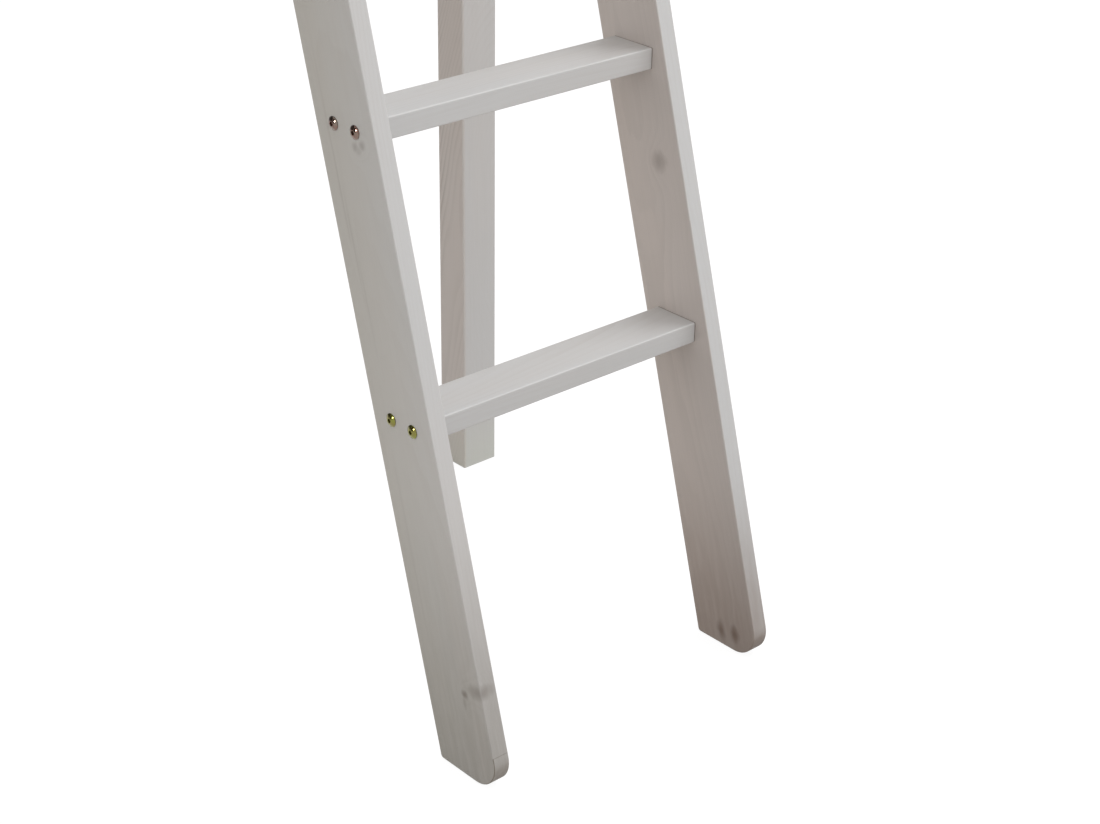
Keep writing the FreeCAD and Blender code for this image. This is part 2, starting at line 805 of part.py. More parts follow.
def barrel_nut():
    """A cross nut along Z about its middle, bored along X, with a driver slot in its lower end."""
    radius, half = DIM.nut_diameter.value / 2, DIM.nut_length.value / 2
    body = Part.makeCylinder(radius, 2 * half, FreeCAD.Vector(0, 0, -half))
    bore_radius = BOLT_RADIUS.value + DIM.nut_play.value
    bore = Part.makeCylinder(bore_radius, 2 * DIM.nut_diameter.value, vector(-DIM.nut_diameter, 0, 0), X_AXIS)
    corner = FreeCAD.Vector(-DIM.nut_diameter.value, -DIM.nut_slot_width.value / 2, -DIM.nut_length.value)
    deep = DIM.nut_length.value - half + DIM.nut_slot_depth.value
    slot = Part.makeBox(2 * DIM.nut_diameter.value, DIM.nut_slot_width.value, deep, corner)
    return body.cut(bore).cut(slot)


def dowel():
    """A fluted-size wood dowel along Z about its middle, with eased ends."""
    radius, half, ease = DIM.dowel_diameter.value / 2, DIM.dowel_length.value / 2, DIM.dowel_chamfer.value
    loop = [(0, -half), (radius - ease, -half), (radius, ease - half), (radius, half - ease)]
    loop += [(radius - ease, half), (0, half), (0, -half)]
    return turned(zip(loop, loop[1:]))


def sleeve_nut():
    """A flat-headed sleeve nut along Z, its head below zero and its bored sleeve above."""
    outer, bore = DIM.sleeve_diameter.value / 2, BOLT_RADIUS.value + DIM.nut_play.value
    head, thick = DIM.sleeve_head_diameter.value / 2, DIM.sleeve_head_height.value
    long = DIM.sleeve_length.value
    loop = [(0, -thick), (head, -thick), (head, 0), (outer, 0), (outer, long), (bore, long), (bore, 0)]
    loop += [(0, 0), (0, -thick)]
    return turned(zip(loop, loop[1:]))


def moved(shape, spot, direction, cross=None):
    """A copy of a shape with its Z turned to direction, and its X to cross where that matters."""
    copy = shape.copy()
    turn = FreeCAD.Rotation(UP, direction)
    if cross is not None:
        turn = FreeCAD.Rotation(cross, FreeCAD.Vector(), direction, "ZXY")
    copy.Placement = FreeCAD.Placement(vector(*spot), turn)
    return copy


def group(name, solids):
    """Like fasteners as one sub-part of separate solids."""
    made = DOC.addObject("Part::Feature", name)
    made.Label = name
    made.Shape = Part.makeCompound(list(solids))
    made.Placement = FreeCAD.Placement()


def board_ends(board):
    """Each bolted end of a board: the post's outer face there, and the way from it into the board."""
    middle = board.thickness / 2
    if board.side in ("left", "right"):
        x = POST_INNER_X + middle
        x = x if board.side == "right" else -x
        yield (x, FRAME_FRONT), Y_AXIS
        yield (x, FRAME_REAR), -Y_AXIS
        return
    y = FRAME_FRONT + middle if board.side == "front" else FRAME_REAR - middle
    yield (-POST_OUTER_X, y), X_AXIS
    if not is_front_guard(board):
        yield (POST_OUTER_X, y), -X_AXIS


def stepped(spot, way, distance):
    """A place moved from spot along a horizontal axis."""
    return spot[0] + distance * way.x, spot[1] + distance * way.y


def post_reach(board):
    """How thick a post is along the bolts of a board."""
    return DIM.post_depth if board.side in ("left", "right") else DIM.post_side


def board_bolts(boards):
    for board in boards:
        solid = bolt(post_reach(board) + DIM.nut_setback + DIM.bolt_past_nut)
        for spot, way in board_ends(board):
            for height in board.bolts:
                yield moved(solid, (*spot, board.bottom + height), way)


def board_nuts(boards):
    solid = barrel_nut()
    for board in boards:
        for spot, way in board_ends(board):
            place_xy = stepped(spot, way, post_reach(board) + DIM.nut_setback)
            for height in board.bolts:
                yield moved(solid, (*place_xy, board.bottom + height), OUTWARD[board.side], way)


def board_dowels(boards):
    solid = dowel()
    for board in boards:
        for spot, way in board_ends(board):
            for height in board.dowels:
                yield moved(solid, (*stepped(spot, way, post_reach(board)), board.bottom + height), way)


def upright_places():
    """Each upright bolt's place across the bed and above the floor, with the board that it holds."""
    for board in FRONT_BOARDS:
        for across, height in upright_spots(board):
            yield board, UPRIGHT_RIGHT - across, board.bottom + height


def upright_bolts():
    face = FRAME_FRONT - DIM.upright_thickness
    for board, x, z in upright_places():
        solid = bolt(DIM.upright_thickness + board.thickness - DIM.bolt_end_room)
        yield moved(solid, (x, face, z), Y_AXIS)


def sleeve_nuts():
    solid = sleeve_nut()
    for board, x, z in upright_places():
        yield moved(solid, (x, FRAME_FRONT + board.thickness, z), -Y_AXIS)


def rung_bolts():
    solid = bolt(DIM.stile_thickness + DIM.nut_setback + DIM.bolt_past_nut)
    for y, z in rung_bolt_places():
        yield moved(solid, (LADDER_LEFT, FOOT_LINE + y, z), X_AXIS)
        yield moved(solid, (LADDER_RIGHT, FOOT_LINE + y, z), -X_AXIS)


def rung_nuts():
    solid = barrel_nut()
    for y, z in rung_bolt_places():
        yield moved(solid, (RUNG_LEFT + DIM.nut_setback, FOOT_LINE + y, z), UP)
        yield moved(solid, (RUNG_RIGHT - DIM.nut_setback, FOOT_LINE + y, z), UP)


def slat_screws():
    solid = wood_screw(DIM.slat_screw_length)
    for index in range(SLAT_COUNT):
        for sign in (-1, 1):
            spot = (slat_screw_x() * sign, slat_middle(index), SLAT_BOTTOM + DIM.slat_thickness)
            yield moved(solid, spot, -UP)


def ledger_screws():
    solid = wood_screw(DIM.ledger_screw_length)
    for sign in (-1, 1):
        for y in ledger_screw_places():
            spot = (LEDGER_INNER_X * sign, y, LEDGER_BOTTOM + DIM.ledger_height / 2)
            yield moved(solid, spot, X_AXIS * sign)


def hook_screws():
    solid = domed_screw(
        DIM.screw_head_diameter,
        DIM.screw_head_height,
        DIM.screw_head_rim,
        DIM.screw_diameter,
        DIM.hook_screw_length,
    )
    for x, way in ((RUNG_LEFT + DIM.hook_thickness, -X_AXIS), (RUNG_RIGHT - DIM.hook_thickness, X_AXIS)):
        for rise in hook_screw_places():
            yield moved(solid, (x, FRAME_FRONT + stile_middle_at(rise), RAIL_TOP + rise), way)


# The whole bed


def make_frame():
    for board in BOARDS:
        make_board(board)
    for side in ("left", "right"):
        make_ledger(side)
        for end in ("front", "rear"):
            make_post(side, end)
    for index in range(SLAT_COUNT):
        make_slat(index)
    make_upright()


def make_ladder():
    for side in ("left", "right"):
        make_stile(side)
        make_hook(side)
    for index in range(RUNG_COUNT):
        make_rung(index)


def make_fasteners():
    group("frame_bolts", board_bolts(RAILS + STRETCHERS))
    group("frame_barrel_nuts", board_nuts(RAILS + STRETCHERS))
    group("guard_bolts", board_bolts(GUARDS))
    group("guard_barrel_nuts", board_nuts(GUARDS))
    group("joint_dowels", board_dowels(BOARDS))
    group("upright_bolts", upright_bolts())
    group("upright_sleeve_nuts", sleeve_nuts())
    group("slat_screws", slat_screws())
    group("ledger_screws", ledger_screws())
    group("rung_bolts", rung_bolts())
    group("rung_barrel_nuts", rung_nuts())
    group("hook_screws", hook_screws())


def check_document():
    """Stops on any failed object, and on any hole that cuts nothing."""
    for item in DOC.Objects:
        failed = {"Invalid", "Error"} & set(item.State)
        if failed:
            raise RuntimeError(f"{item.Name}: {sorted(failed)}")
        if item.TypeId in ("PartDesign::Pocket", "PartDesign::Hole"):
            if item.Shape.Volume >= item.BaseFeature.Shape.Volume:
                raise RuntimeError(f"{item.Name} cuts nothing")


def sub_parts():
    return [item for item in DOC.Objects if item.TypeId in ("PartDesign::Body", "Part::Feature")]


def write_parts():
    os.makedirs("parts", exist_ok=True)
    for item in sub_parts():
        if item.Shape.isNull() or not item.Shape.isValid():
            raise RuntimeError(f"{item.Label} has no valid shape")
    for item in sub_parts():
        item.Shape.exportStep(f"parts/{item.Label}.step")


make_frame()
make_ladder()
make_fasteners()
DOC.recompute()
check_document()
write_parts()
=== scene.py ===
"""Looks of the loft bed: glazed pine boards, bare slats, zinc fasteners, floor, light and camera."""
import math
import random

import bmesh
import bpy
from mathutils import Matrix, Vector


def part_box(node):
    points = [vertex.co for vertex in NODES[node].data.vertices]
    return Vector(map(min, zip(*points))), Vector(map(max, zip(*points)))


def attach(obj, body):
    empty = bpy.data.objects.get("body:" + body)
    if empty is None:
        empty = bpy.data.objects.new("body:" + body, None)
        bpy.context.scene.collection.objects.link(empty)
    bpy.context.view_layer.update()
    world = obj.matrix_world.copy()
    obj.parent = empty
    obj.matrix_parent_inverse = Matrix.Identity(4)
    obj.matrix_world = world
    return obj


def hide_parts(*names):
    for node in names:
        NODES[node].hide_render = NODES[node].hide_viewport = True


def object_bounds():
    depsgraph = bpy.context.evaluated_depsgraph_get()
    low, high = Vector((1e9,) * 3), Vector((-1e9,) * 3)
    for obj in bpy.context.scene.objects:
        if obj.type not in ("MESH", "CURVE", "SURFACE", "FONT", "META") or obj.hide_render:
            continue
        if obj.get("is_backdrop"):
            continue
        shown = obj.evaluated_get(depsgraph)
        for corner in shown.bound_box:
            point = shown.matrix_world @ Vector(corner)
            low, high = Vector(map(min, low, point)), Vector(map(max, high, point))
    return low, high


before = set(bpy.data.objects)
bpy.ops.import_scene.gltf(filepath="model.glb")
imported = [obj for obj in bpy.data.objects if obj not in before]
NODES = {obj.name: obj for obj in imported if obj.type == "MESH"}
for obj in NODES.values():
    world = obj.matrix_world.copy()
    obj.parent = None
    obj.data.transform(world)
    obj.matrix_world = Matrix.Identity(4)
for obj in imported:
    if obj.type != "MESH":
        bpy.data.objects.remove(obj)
CAD_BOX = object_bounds()

X, Y, Z = Vector((1, 0, 0)), Vector((0, 1, 0)), Vector((0, 0, 1))

# Camera of the photograph: place and reach in metres, angles in degrees, lens and sensor in millimetres
CAMERA_PLACE = (-1.0477, -2.6010, 1.2683)
CAMERA_TURN, CAMERA_DOWN, CAMERA_ROLL = 41.944, 26.614, 0.826
CAMERA_LENS = 70.95
CAMERA_SENSOR = 36
CAMERA_REACH = 100

# The ladder's stiles lean by this angle
LEAN = math.radians(15.7)
STILE_AXIS = Vector((0, math.sin(LEAN), math.cos(LEAN)))


def srgb(red, green, blue):
    """A colour given in 0..255 display steps, as the linear one that nodes take."""
    def linear(step):
        share = step / 255
        return share / 12.92 if share <= 0.04045 else ((share + 0.055) / 1.055) ** 2.4
    return (linear(red), linear(green), linear(blue), 1)


def add_object(name, data):
    """A new object in the scene."""
    item = bpy.data.objects.new(name, data)
    bpy.context.scene.collection.objects.link(item)
    return item


# Node trees

# The colour sockets of a mix node, which share their names with its other sockets
MIX_SHARE, MIX_FIRST, MIX_SECOND, MIX_RESULT = 0, 6, 7, 2


class Tree:
    """A node tree with short calls for the nodes that the materials use."""

    def __init__(self, tree):
        self.tree = tree

    def add(self, kind, **settings):
        node = self.tree.nodes.new(kind)
        for name, value in settings.items():
            setattr(node, name, value)
        return node

    def put(self, socket, value):
        """Links the value to the socket, or sets it there if it is a plain one."""
        if isinstance(value, bpy.types.NodeSocket):
            self.tree.links.new(value, socket)
        else:
            socket.default_value = value

    def math(self, operation, *values):
        node = self.add("ShaderNodeMath", operation=operation)
        for socket, value in zip(node.inputs, values):
            self.put(socket, value)
        return node.outputs[0]

    def vector(self, operation, *values):
        node = self.add("ShaderNodeVectorMath", operation=operation)
        sockets = [node.inputs[0], node.inputs["Scale"]] if operation == "SCALE" else node.inputs
        for socket, value in zip(sockets, values):
            self.put(socket, value)
        return node.outputs["Value" if operation in ("DOT_PRODUCT", "LENGTH") else "Vector"]

    def split(self, vector):
        node = self.add("ShaderNodeSeparateXYZ")
        self.put(node.inputs[0], vector)
        return node.outputs

    def join(self, *values):
        node = self.add("ShaderNodeCombineXYZ")
        for socket, value in zip(node.inputs, values):
            self.put(socket, value)
        return node.outputs[0]

    def noise(self, vector, scale, detail=2, roughness=0.5):
        """Soft noise from 0 to 1, with its scale along each axis as three numbers."""
        node = self.add("ShaderNodeTexNoise")
        self.put(node.inputs["Vector"], self.vector("MULTIPLY", vector, scale))
        node.inputs["Scale"].default_value = 1
        node.inputs["Detail"].default_value = detail
        node.inputs["Roughness"].default_value = roughness
        return node.outputs

    def fit(self, value, low, high, to_low=0, to_high=1):
        """A smooth step of value from low..high to to_low..to_high."""
        node = self.add("ShaderNodeMapRange", interpolation_type="SMOOTHSTEP")
        for name, number in (("From Min", low), ("From Max", high), ("To Min", to_low), ("To Max", to_high)):
            node.inputs[name].default_value = number
        self.put(node.inputs["Value"], value)
        return node.outputs[0]

    def ramp(self, value, stops):
        """A curve through (place, level) stops."""
        node = self.add("ShaderNodeValToRGB")
        node.color_ramp.interpolation = "EASE"
        points = node.color_ramp.elements
        while len(points) < len(stops):
            points.new(0.5)
        for point, (place, level) in zip(points, stops):
            point.position = place
            point.color = (level, level, level, 1)
        self.put(node.inputs[0], value)
        return node.outputs[0]

    def mix(self, share, first, second):
        node = self.add("ShaderNodeMix", data_type="RGBA")
        self.put(node.inputs[MIX_SHARE], share)
        self.put(node.inputs[MIX_FIRST], first)
        self.put(node.inputs[MIX_SECOND], second)
        return node.outputs[MIX_RESULT]

    def bump(self, shader, height, strength, distance):
        """Raises the shader's surface by height."""
        node = self.add("ShaderNodeBump")
        node.inputs["Strength"].default_value = strength
        node.inputs["Distance"].default_value = distance
        self.put(node.inputs["Height"], height)
        self.put(shader.inputs["Normal"], node.outputs[0])


def new_group(name, inputs, outputs):
    """An empty node group with its sockets, as a tree and its two ends."""
    group = bpy.data.node_groups.new(name, "ShaderNodeTree")
    for label, kind in inputs:
        group.interface.new_socket(label, in_out="INPUT", socket_type=f"NodeSocket{kind}")
    for label, kind in outputs:
        group.interface.new_socket(label, in_out="OUTPUT", socket_type=f"NodeSocket{kind}")
    tree = Tree(group)
    return tree, tree.add("NodeGroupInput").outputs, tree.add("NodeGroupOutput").inputs


def empty_material(name):
    """A material with nothing but its output, with its tree and the output's surface."""
    material = bpy.data.materials.new(name)
    material.use_nodes = True
    material.node_tree.nodes.clear()
    tree = Tree(material.node_tree)
    return material, tree, tree.add("ShaderNodeOutputMaterial").inputs["Surface"]


def new_material(name):
    """A material with its tree and its principled shader."""
    material, tree, surface = empty_material(name)
    shader = tree.add("ShaderNodeBsdfPrincipled")
    tree.put(surface, shader.outputs[0])
    return material, tree, shader


# Pine: growth rings round a pith, fibres, knots and the glaze over them, in metres along the board

# A knot: the grain and depth of its ragged rim, in shares of its size where its stain and its core begin and
# are full, and how fast and how strongly it pushes the rings aside
KNOT_GRAIN = (90, 160, 160)
KNOT_RAGGED = 0.7
KNOT_STAIN = (1.3, 0.5)
KNOT_CORE = (0.75, 0.1)
KNOT_FALL = -0.3
KNOT_PUSH = 1.3


def knot_group():
    """A branch knot: how much of it is here, its core, and how far it pushes the rings aside."""
    tree, given, result = new_group(
        "knot",
        [("Board", "Vector"), ("Place", "Vector"), ("Stretch", "Vector"), ("Size", "Float"),
         ("Depth", "Float")],
        [("Mask", "Float"), ("Core", "Float"), ("Push", "Float")],
    )
    offset = tree.vector("SUBTRACT", given["Board"], given["Place"])
    offset = tree.vector("MULTIPLY", offset, given["Stretch"])
    ragged = tree.noise(given["Board"], KNOT_GRAIN)["Fac"]
    reach = tree.math("DIVIDE", tree.vector("LENGTH", offset), given["Size"])
    reach = tree.math("ADD", reach, tree.math("MULTIPLY_ADD", ragged, KNOT_RAGGED, -KNOT_RAGGED / 2))
    tree.put(result["Mask"], tree.math("MULTIPLY", tree.fit(reach, *KNOT_STAIN), given["Depth"]))
    tree.put(result["Core"], tree.math("MULTIPLY", tree.fit(reach, *KNOT_CORE), given["Depth"]))
    fall = tree.math("EXPONENT", tree.math("MULTIPLY", tree.math("MULTIPLY", reach, reach), KNOT_FALL))
    tree.put(result["Push"], tree.math("MULTIPLY", tree.math("MULTIPLY", fall, given["Size"]), KNOT_PUSH))
    return tree.tree


# Grain of the noises in waves to the metre along, across and through the board
PITH_GRAIN = (1.5, 1, 1)
RING_GRAIN = (5, 45, 45)
VEIL_GRAIN = (2.2, 18, 18)
TINT_GRAIN = (1.3, 11, 11)
FIBRE_GRAIN = (11, 900, 900)
PATCH_GRAIN = (16, 130, 130)
# Middle of a noise's three channels
NOISE_MIDDLE = (0.5, 0.5, 0.5)
# What each noise becomes: its low and high, and the shares that these give
YEAR_FIT = (0.3, 0.7, 0.45, 1)
VEIL_FIT = (0.3, 0.75)
TINT_FIT = (0.35, 0.7, 0, 0.25)
FIBRE_FIT = (0.35, 0.75, 0, 0.1)
WEAR_AND_HIGHLIGHT_FIT = (0.3, 0.65, 0.1, 0.6)
FOOT_BLEND_FIT = (0.2, 0.7, 0.7, 1)
# Rings: how far the pith drifts and a ring wavers, a ring's width, the change from year to year, and how dark
# the wood is through a year
PITH_DRIFT = 0.075
RING_WAVER = 0.006
RING_WIDTH = 0.0042
YEAR_GRAIN = 150
YEAR = [(0, 0), (0.35, 0.1), (0.8, 0.85), (0.9, 1), (1, 0)]
# Boards take their noises this far apart for each step of their seeds
SEED_STEP = 7.31
# Where the heart side of a board begins and is full, and the share of its painted shade tint in the colour
HEART_AND_SHADE_BAND = (0.86, 0.98)
SIDE_SHADE_SHARE = 0.6
# Shares of late wood on end grain, of a knot's core and stain, and of the shade in a joint
END_SHARE = 0.5
CORE_SHARE = 0.35
STAIN_SHARE = 0.65
SEAM_SHARE = 0.75
# Distances from an arris or a joint where its wear and painted highlight, or its painted shade, begins and is
# full
EDGE_BAND = (0.0022, 0.0006)
SEAM_BAND = (0.0016, 0.0006)
# Roughness of the surface, what the veil and end grain add to it, and the relief of fibres, rings and knots
ROUGH_BASE, ROUGH_VEIL, ROUGH_END = 0.4, 0.14, 0.2
FIBRE_RELIEF, RING_RELIEF, CORE_RELIEF = 0.6, 0.2, 0.5

PINE_INPUTS = [
    ("Board", "Vector"), ("Pith", "Vector"), ("Slope", "Vector"), ("Half", "Vector"), ("Heart And Shade", "Vector"),
    ("Shade Tint", "Color"), ("Seed", "Float"), ("End", "Float"), ("Mask", "Float"), ("Core", "Float"),
    ("Push", "Float"), ("Rings", "Float"), ("Foot Blend", "Float"), ("Foot Colour", "Color"), ("Seam", "Float"),
]
PINE_OUTPUTS = [("Colour", "Color"), ("Rough", "Float"), ("Height", "Float")]


def pine_rings(tree, given, seed, place):
    """How dark the growth rings are, from 0 in early wood to 1 in late wood."""
    along = tree.split(place)[0]
    # The pith runs askew and wanders along the board, so flat sawn faces show arches
    drift = tree.noise(tree.join(along, 0, 0), PITH_GRAIN, detail=1)["Color"]
    drift = tree.vector("SUBTRACT", drift, NOISE_MIDDLE)
    drift = tree.vector("MULTIPLY", drift, (0, PITH_DRIFT, PITH_DRIFT))
    askew = tree.vector("SCALE", given["Slope"], tree.split(given["Board"])[0])
    drift = tree.vector("ADD", drift, askew)
    from_pith = tree.vector("SUBTRACT", tree.vector("ADD", given["Board"], drift), given["Pith"])
    from_pith = tree.vector("MULTIPLY", from_pith, (0, 1, 1))
    uneven = tree.noise(place, RING_GRAIN, detail=3)["Fac"]
    radius = tree.math("ADD", tree.vector("LENGTH", from_pith), given["Push"])
    radius = tree.math("ADD", radius, tree.math("MULTIPLY_ADD", uneven, RING_WAVER, -RING_WAVER / 2))
    ring = tree.math("FRACT", tree.math("DIVIDE", radius, RING_WIDTH))
    band = tree.ramp(ring, YEAR)
    year = tree.join(tree.math("MULTIPLY", radius, YEAR_GRAIN), seed, 0)
    year = tree.noise(year, (1, 1, 1), detail=1)["Fac"]
    return tree.math("MULTIPLY", band, tree.fit(year, *YEAR_FIT))


def pine_group(name, early, late, heart, knot, wear_and_highlight, contrast):
    """Pine of one finish. Board is the place along, across and through the board, Half its half sizes.

    Heart points to the side of the board that lay nearest to the heart of the log, and that also takes a
    painted shade tint.
    """
    tree, given, result = new_group(name, PINE_INPUTS, PINE_OUTPUTS)
    seed = tree.math("MULTIPLY", given["Seed"], SEED_STEP)
    place = tree.vector("ADD", given["Board"], tree.join(seed, 0, 0))
    band = pine_rings(tree, given, seed, place)
    # The glaze hides the rings more in some places than in others
    veil = tree.noise(place, VEIL_GRAIN)["Fac"]
    shown = tree.math("MULTIPLY", band, tree.fit(veil, *VEIL_FIT, *contrast))
    # On the heart side its rings are plainer, and the colour takes a painted shade tint, warm or dark by
    # board
    side = tree.vector("DOT_PRODUCT", tree.vector("DIVIDE", given["Board"], given["Half"]), given["Heart And Shade"])
    heart_and_shade = tree.fit(side, *HEART_AND_SHADE_BAND)
    shown = tree.math("MULTIPLY", shown, tree.math("MULTIPLY_ADD", heart_and_shade, given["Rings"], 1))
    tint = tree.fit(tree.noise(place, TINT_GRAIN)["Fac"], *TINT_FIT)
    colour = tree.mix(tint, early, heart)
    colour = tree.mix(tree.math("MULTIPLY", heart_and_shade, SIDE_SHADE_SHARE), colour, given["Shade Tint"])
    colour = tree.mix(shown, colour, late)
    fibre = tree.noise(place, FIBRE_GRAIN, detail=3, roughness=0.6)["Fac"]
    colour = tree.mix(tree.fit(fibre, *FIBRE_FIT), colour, late)
    colour = tree.mix(tree.math("MULTIPLY", given["End"], END_SHARE), colour, late)
    stain = tree.math("MULTIPLY", given["Mask"], STAIN_SHARE)
    colour = tree.mix(tree.math("MULTIPLY_ADD", given["Core"], CORE_SHARE, stain), colour, knot)
    # Along the arrises, which lie near two sides of the board at once, the glaze is rubbed thin and a
    # highlight is painted in
    room = tree.vector("SUBTRACT", given["Half"], tree.vector("ABSOLUTE", given["Board"]))
    room_x, room_y, room_z = tree.split(room)
    second = tree.math("MINIMUM", tree.math("MAXIMUM", room_y, room_z), room_x)
    second = tree.math("MAXIMUM", tree.math("MINIMUM", room_y, room_z), second)
    patches = tree.noise(place, PATCH_GRAIN, detail=3, roughness=0.6)["Fac"]
    edge = tree.math("MULTIPLY", tree.fit(second, *EDGE_BAND), tree.fit(patches, *WEAR_AND_HIGHLIGHT_FIT))
    colour = tree.mix(edge, colour, wear_and_highlight)
    # Painted shade darkens the stiles towards their feet, and the post's foot takes a greener tone; the toe's
    # dark lines join in here
    foot_share = tree.math("MULTIPLY", given["Foot Blend"], tree.fit(patches, *FOOT_BLEND_FIT))
    colour = tree.mix(foot_share, colour, given["Foot Colour"])
    # Painted shade: a fine dark line along a butting board's ends, in the joint
    seam = tree.math("MULTIPLY", tree.fit(room_x, *SEAM_BAND), given["Seam"])
    colour = tree.mix(tree.math("MULTIPLY", seam, SEAM_SHARE), colour, knot)
    tree.put(result["Colour"], colour)
    rough = tree.math("MULTIPLY_ADD", veil, ROUGH_VEIL, ROUGH_BASE)
    tree.put(result["Rough"], tree.math("ADD", rough, tree.math("MULTIPLY", given["End"], ROUGH_END)))
    height = tree.math("MULTIPLY_ADD", fibre, FIBRE_RELIEF, tree.math("MULTIPLY", band, RING_RELIEF))
    tree.put(result["Height"], tree.math("ADD", height, tree.math("MULTIPLY", given["Core"], CORE_RELIEF)))
    return tree.tree


KNOT = knot_group()
GLAZED = pine_group(
    "glazed_pine",
    early=srgb(205, 205, 205),
    late=srgb(180, 173, 167),
    heart=srgb(206, 195, 187),
    knot=srgb(104, 90, 82),
    # Arrises: worn glaze with a painted highlight
    wear_and_highlight=srgb(213, 212, 211),
    contrast=(0.03, 0.2),
)
BARE = pine_group(
    "bare_pine",
    early=srgb(226, 198, 158),
    late=srgb(197, 152, 104),
    heart=srgb(218, 184, 140),
    knot=srgb(140, 92, 56),
    # Arrises: worn glaze with a painted highlight
    wear_and_highlight=srgb(231, 206, 170),
    contrast=(0.45, 0.9),
)

# Knots and fine resin streaks seen in the photograph: where each one lies, how much it is pressed together
# along, across and through the board, its size and how dark it is
SEEN_KNOTS = {
    "ladder_left_stile": [
        ((0.056, -1.1050, 0.6047), (1.0, 1.0, 0.4), 0.0050, 0.3),
        ((0.056, -1.1156, 0.6088), (1.0, 1.0, 0.4), 0.0052, 0.34),
        ((0.056, -1.1104, 0.6025), (1.0, 0.9, 0.4), 0.0046, 0.2),
        ((0.056, -1.2561, 0.0927), (0.9, 1.0, 0.4), 0.0048, 0.75),
        ((0.056, -1.2558, 0.0840), (0.5, 1.2, 0.4), 0.0040, 0.3),
        ((0.058, -1.2748, 0.1040), (1.0, 0.5, 0.5), 0.0080, 0.5),
        ((0.056, -1.0582, 0.6357), (0.03, 1.0, 0.4), 0.0018, 0.07),
        ((0.056, -1.0803, 0.5588), (0.03, 1.0, 0.4), 0.0018, 0.15),
        ((0.056, -1.0977, 0.5118), (0.03, 1.0, 0.4), 0.0018, 0.11),
        ((0.056, -1.1171, 0.4549), (0.03, 1.0, 0.4), 0.0018, 0.08),
        ((0.056, -1.1755, 0.2220), (0.02, 1.0, 0.4), 0.0022, 0.07),
    ],
    "ladder_right_stile": [
        ((0.416, -1.1319, 0.5151), (0.72, 0.75, 0.4), 0.0082, 0.4),
        ((0.416, -1.2532, 0.0161), (0.5, 1.0, 0.4), 0.0062, 0.9),
        ((0.416, -1.2727, 0.0200), (0.6, 1.0, 0.4), 0.0064, 1.0),
    ],
    "ladder_rung_1": [],
    "ladder_rung_2": [],
    "front_right_post": [],
}
# Knots of the other boards, drawn from these ranges: how many to the metre, how far across they spread, how
# much they are pressed together along and through the board, their sizes and how dark they are
KNOTS_TO_METRE = (1.2, 2.4)
KNOT_SPREAD = 0.85
KNOT_ALONG = (0.55, 0.8)
KNOT_THROUGH = (0.1, 0.3)
KNOT_SIZES = (0.004, 0.009)
KNOT_DEPTHS = (0.35, 0.75)
# Place of the pith beside the board, in half widths and in metres through it, its slope, and the seeds
PITH_ASIDE = 1.2
PITH_AWAY = (0.03, 0.09)
PITH_SLOPE = 0.03
SEEDS = (0, 20)
# How much plainer the rings are on the heart side
HEART_RINGS = 0.3
# How squarely a surface faces along the board where end grain begins and is full
END_BAND = (0.08, 0.4)
# Boards whose left side takes a painted shade tint, with its colour there: warm bounced shade on the right
# stile and post, darker shade on the left stile
SHADED_SIDE_TINT = {
    "ladder_left_stile": srgb(186, 182, 171),
    "ladder_right_stile": srgb(213, 199, 190),
    "front_right_post": srgb(206, 194, 186),
}
# How some boards lay in the log: the post's rings run out across its left face, the stile's face is flat sawn
# and its painted shade tint grows stronger towards the rear
SEEN_GRAIN = {
    "front_right_post": {"Pith": (0, 0.022, -0.193), "Slope": (0, 0, 0.28), "Rings": 5.5},
    "ladder_left_stile": {"Pith": (0, 0.01, 0.25), "Heart And Shade": (0, 0.03, -0.932)},
}
# Boards that stand on the floor and grow darker or greener towards it, with the height, strength and colour
# of it: painted shade on the stiles' feet, a greener tone on the post's foot
FOOT_SHADE_AND_TONE = {
    "ladder_left_stile": (0.32, 0.5, srgb(106, 98, 82)),
    "ladder_right_stile": (0.23, 0.6, srgb(124, 98, 79)),
    "front_right_post": (0.1, 0.36, srgb(196, 203, 188)),
}
# This board's rounded toe has dark lines along its left arris and where it begins: the toe's radius, how far
# above the round it begins, the width and strength of both lines, and how the first one fades at its ends
DARK_LINED_TOE = "ladder_left_stile"
TOE_RADIUS = 0.028
TOE_START = 0.0045
TOE_LINE = 0.0016
TOE_LINE_STRENGTH = 0.95
TOE_START_STRENGTH = 0.9
TOE_TOP_FADE = (0.001, -0.001)
TOE_FLOOR_FADE = (0, -0.01)
# Boards whose ends butt against another piece, with a fine painted shade in the joint there
BUTTING_BOARDS = ("rail", "guard", "stretcher")
# Strength and depth of the wood's relief
WOOD_BUMP = (0.18, 0.0006)


def board_frame(name):
    """A board's middle, its axes along, across and through, and its half sizes."""
    if name.endswith("stile"):
        return stile_frame(name)
    low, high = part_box(name)
    size = high - low
    order = sorted(range(3), key=lambda axis: -size[axis])
    axes = [(X, Y, Z)[axis] for axis in order]
    return (low + high) / 2, axes, Vector([size[axis] / 2 for axis in order])


def stile_frame(name):
    """The same for a leaning stile, measured square to its lean."""
    axes = [STILE_AXIS, Vector((0, math.cos(LEAN), -math.sin(LEAN))), X]
    points = [vertex.co for vertex in NODES[name].data.vertices]
    spans = [[point.dot(axis) for point in points] for axis in axes]
    middle = sum(((min(span) + max(span)) / 2 * axis for span, axis in zip(spans, axes)), Vector())
    return middle, axes, Vector([(max(span) - min(span)) / 2 for span in spans])


def in_board(way, axes):
    """A way along, across and through a board."""
    return [way.dot(axis) for axis in axes]


